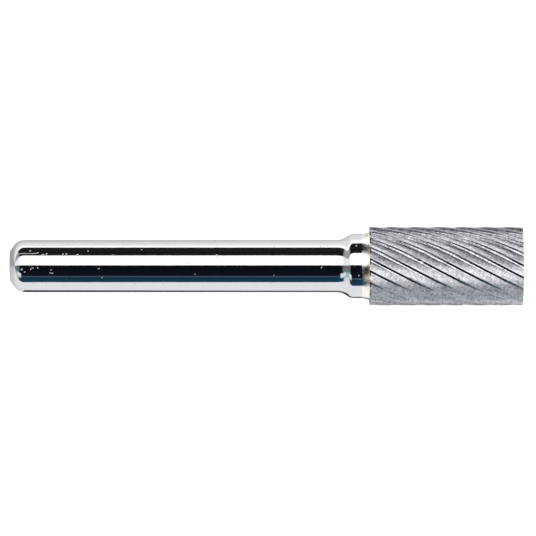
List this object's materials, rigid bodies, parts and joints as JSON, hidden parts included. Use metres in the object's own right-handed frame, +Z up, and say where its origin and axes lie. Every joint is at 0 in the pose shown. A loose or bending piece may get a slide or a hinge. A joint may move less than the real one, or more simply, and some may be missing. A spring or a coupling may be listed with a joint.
{
  "type": "rotary burr",
  "caption": "Rotary burr: a cylindrical, spiral-fluted carbide head brazed to a polished straight steel shank, used as the cutting bit in a die grinder's collet.",
  "frame": {"origin": "centre of the flat face at the tail end of the shank", "axes": "+X along the spin axis from the tail to the cutting head, +Z up, +Y completes the right-handed frame"},
  "size_m": [0.0625, 0.0096, 0.0096],
  "materials": {
    "shank_steel": "polished",
    "braze_filler": "satin",
    "tungsten_carbide": "satin ground"
  },
  "bodies": {
    "root": {"shank": "shank_steel", "braze_joint": "braze_filler", "carbide_head": "tungsten_carbide"}
  },
  "joints": []
}
